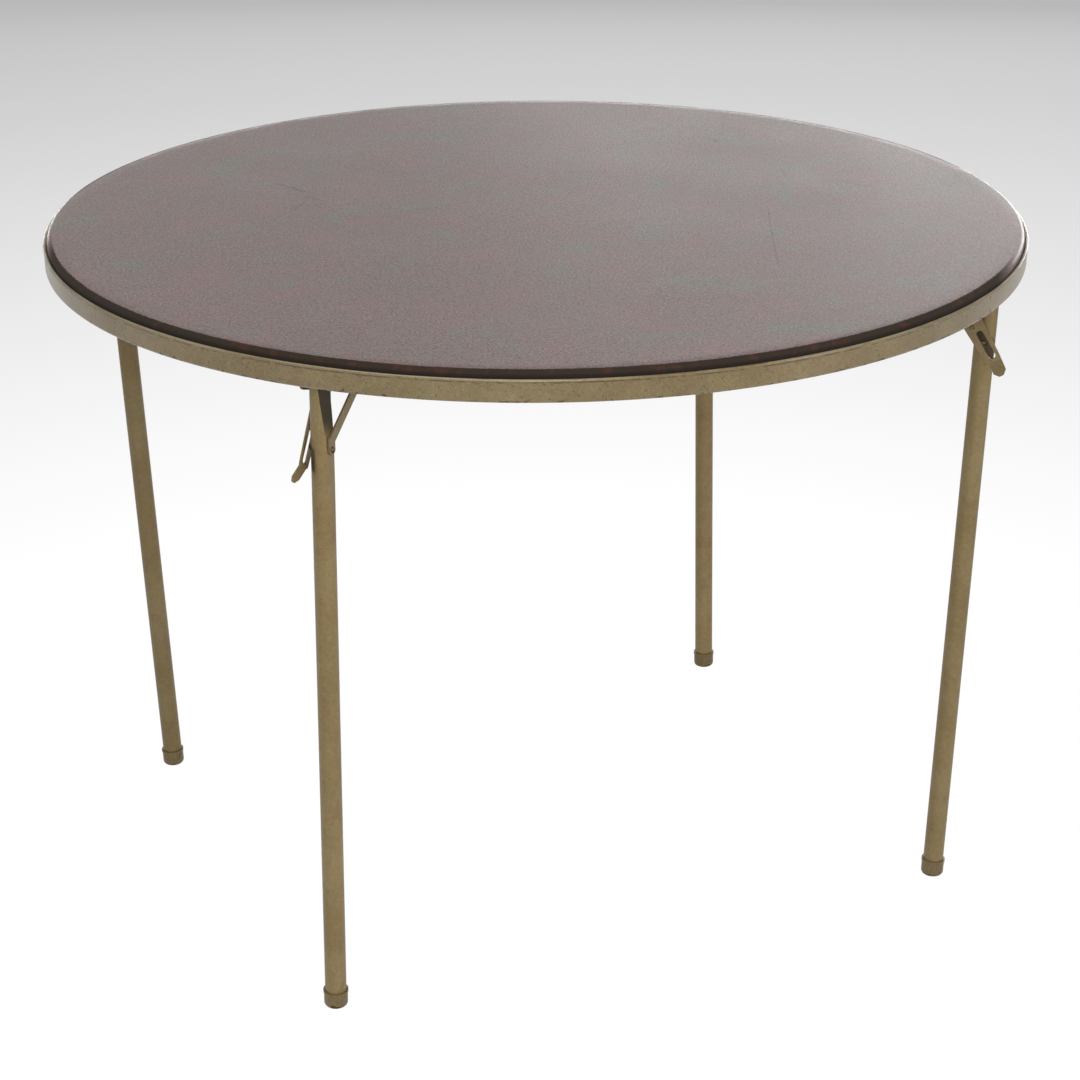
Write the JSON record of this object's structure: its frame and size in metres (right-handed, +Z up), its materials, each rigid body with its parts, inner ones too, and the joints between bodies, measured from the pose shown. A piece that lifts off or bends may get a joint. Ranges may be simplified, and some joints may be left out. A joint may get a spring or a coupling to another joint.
{
  "type": "folding card table",
  "caption": "Round folding card table with a padded vinyl top in a rolled metal rim, on round tube legs that fold in under the top, each with a brace and a release lever.",
  "frame": {"origin": "on the floor under the middle of the table's top", "axes": "+Z up, the height; leg 1 stands at the front left (-X, -Y), and legs 2, 3 and 4 follow anticlockwise seen from above"},
  "size_m": [1.0159, 1.016, 0.705],
  "materials": {
    "vinyl": "fine-grained mottled taupe vinyl, satin",
    "felt": "grey-brown felt pad",
    "hardboard": "brown hardboard, smooth",
    "rim_paint": "worn olive-gold paint, satin",
    "leg_paint": "worn olive-gold paint, satin",
    "bracket_paint": "olive-gold paint, satin",
    "cap_paint": "worn dull olive paint",
    "plated_steel": "dulled zinc plate"
  },
  "bodies": {
    "root": {"vinyl_cover": "vinyl", "top_padding": "felt", "top_board": "hardboard", "rim_ring": "rim_paint", "rim_screws": "plated_steel", "leg_bracket_1": "bracket_paint", "leg_bracket_2": "bracket_paint", "leg_bracket_3": "bracket_paint", "leg_bracket_4": "bracket_paint", "bracket_screws": "plated_steel", "hinge_pins": "plated_steel", "hinge_bushes": "plated_steel", "lever_pins": "plated_steel"},
    "leg_1": {"leg_tube_1": "leg_paint", "foot_cap_1": "cap_paint", "brace_rivet_1": "plated_steel"},
    "brace_1": {"brace_bar_1": "leg_paint", "brace_pin_1": "plated_steel"},
    "lever_1": {"release_lever_1": "leg_paint"},
    "leg_2": {"leg_tube_2": "leg_paint", "foot_cap_2": "cap_paint", "brace_rivet_2": "plated_steel"},
    "brace_2": {"brace_bar_2": "leg_paint", "brace_pin_2": "plated_steel"},
    "lever_2": {"release_lever_2": "leg_paint"},
    "leg_3": {"leg_tube_3": "leg_paint", "foot_cap_3": "cap_paint", "brace_rivet_3": "plated_steel"},
    "brace_3": {"brace_bar_3": "leg_paint", "brace_pin_3": "plated_steel"},
    "lever_3": {"release_lever_3": "leg_paint"},
    "leg_4": {"leg_tube_4": "leg_paint", "foot_cap_4": "cap_paint", "brace_rivet_4": "plated_steel"},
    "brace_4": {"brace_bar_4": "leg_paint", "brace_pin_4": "plated_steel"},
    "lever_4": {"release_lever_4": "leg_paint"}
  },
  "joints": [
    {"name": "leg_fold_1", "type": "hinge", "parent": "root", "child": "leg_1", "pos_m": [-0.19698, -0.43223, 0.678], "axis": [0.91, -0.4147, 0], "range_deg": [0, 88]},
    {"name": "brace_turn_1", "type": "hinge", "parent": "leg_1", "child": "brace_1", "pos_m": [-0.19594, -0.42995, 0.60604], "axis": [0.91, -0.4147, 0], "range_deg": [-132, 0]},
    {"name": "lever_press_1", "type": "hinge", "parent": "root", "child": "lever_1", "pos_m": [-0.19097, -0.41904, 0.6236], "axis": [-0.91, 0.4147, 0], "range_deg": [0, 8], "stiffness_Nm_per_rad": 0.05},
    {"name": "leg_fold_2", "type": "hinge", "parent": "root", "child": "leg_2", "pos_m": [0.45705, -0.12933, 0.678], "axis": [0.2723, 0.9622, 0], "range_deg": [0, 84.5]},
    {"name": "brace_turn_2", "type": "hinge", "parent": "leg_2", "child": "brace_2", "pos_m": [0.45464, -0.12865, 0.60604], "axis": [0.2723, 0.9622, 0], "range_deg": [-126.75, 0]},
    {"name": "lever_press_2", "type": "hinge", "parent": "root", "child": "lever_2", "pos_m": [0.4431, -0.12538, 0.6236], "axis": [-0.2723, -0.9622, 0], "range_deg": [0, 8], "stiffness_Nm_per_rad": 0.05},
    {"name": "leg_fold_3", "type": "hinge", "parent": "root", "child": "leg_3", "pos_m": [0.20374, 0.42908, 0.678], "axis": [-0.9033, 0.4289, 0], "range_deg": [0, 88]},
    {"name": "brace_turn_3", "type": "hinge", "parent": "leg_3", "child": "brace_3", "pos_m": [0.20267, 0.42681, 0.60604], "axis": [-0.9033, 0.4289, 0], "range_deg": [-132, 0]},
    {"name": "lever_press_3", "type": "hinge", "parent": "root", "child": "lever_3", "pos_m": [0.19753, 0.41599, 0.6236], "axis": [0.9033, -0.4289, 0], "range_deg": [0, 8], "stiffness_Nm_per_rad": 0.05},
    {"name": "leg_fold_4", "type": "hinge", "parent": "root", "child": "leg_4", "pos_m": [-0.45903, 0.12214, 0.678], "axis": [-0.2571, -0.9664, 0], "range_deg": [0, 84.5]},
    {"name": "brace_turn_4", "type": "hinge", "parent": "leg_4", "child": "brace_4", "pos_m": [-0.4566, 0.12149, 0.60604], "axis": [-0.2571, -0.9664, 0], "range_deg": [-126.75, 0]},
    {"name": "lever_press_4", "type": "hinge", "parent": "root", "child": "lever_4", "pos_m": [-0.44502, 0.11841, 0.6236], "axis": [0.2571, 0.9664, 0], "range_deg": [0, 8], "stiffness_Nm_per_rad": 0.05}
  ],
  "couplings": [
    {"joint": "brace_turn_1", "follows": "leg_fold_1", "ratio": -1.5},
    {"joint": "brace_turn_2", "follows": "leg_fold_2", "ratio": -1.5},
    {"joint": "brace_turn_3", "follows": "leg_fold_3", "ratio": -1.5},
    {"joint": "brace_turn_4", "follows": "leg_fold_4", "ratio": -1.5}
  ]
}
